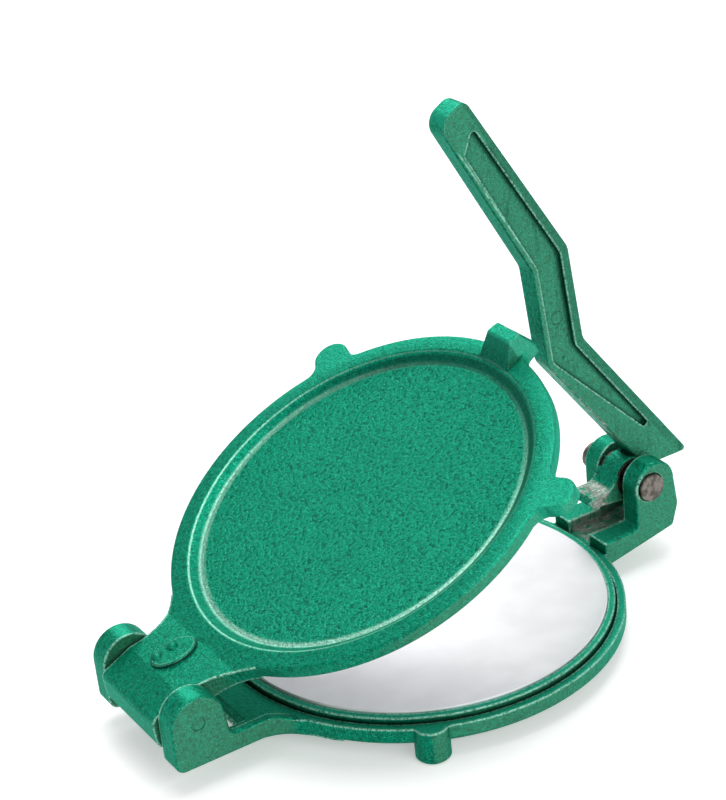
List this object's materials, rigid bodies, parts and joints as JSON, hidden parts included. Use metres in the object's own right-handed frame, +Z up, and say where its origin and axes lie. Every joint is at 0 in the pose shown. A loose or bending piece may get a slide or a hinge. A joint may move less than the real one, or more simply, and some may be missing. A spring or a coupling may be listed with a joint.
{
  "type": "roti press",
  "caption": "Cast hand press for flat bread: a ringed base with a polished round plate, a hinged lid with a second plate, and a bent lever on a clevis.",
  "frame": {"origin": "on the table, in the middle of the footprint's box: midway between the rear of the hinge ears and the tip of the lever's beak, on the plane of symmetry", "axes": "+X from the lid hinge to the lever, +Z up, +Y across so that the press is symmetric about the XZ plane"},
  "size_m": [0.3471, 0.2248, 0.2862],
  "materials": {
    "green_enamel": "fine metallic hammered enamel",
    "painted_pin": "painted over",
    "polished_plate": "polished",
    "bare_steel": "bare, lightly tarnished"
  },
  "bodies": {
    "base": {"base_casting": "green_enamel", "base_press_disc": "polished_plate", "hinge_pin": "painted_pin", "lever_pin": "bare_steel"},
    "lid": {"lid_casting": "green_enamel", "lid_press_disc": "polished_plate"},
    "lever": {"lever_casting": "green_enamel", "lever_washer_near": "bare_steel", "lever_washer_far": "bare_steel"}
  },
  "joints": [
    {"name": "lid_hinge", "type": "hinge", "parent": "base", "child": "lid", "pos_m": [-0.15759, 0, 0.037], "axis": [0, -1, 0], "range_deg": [-26, 80]},
    {"name": "lever_pivot", "type": "hinge", "parent": "base", "child": "lever", "pos_m": [0.13441, 0, 0.048], "axis": [0, 1, 0], "range_deg": [0, 58]}
  ]
}
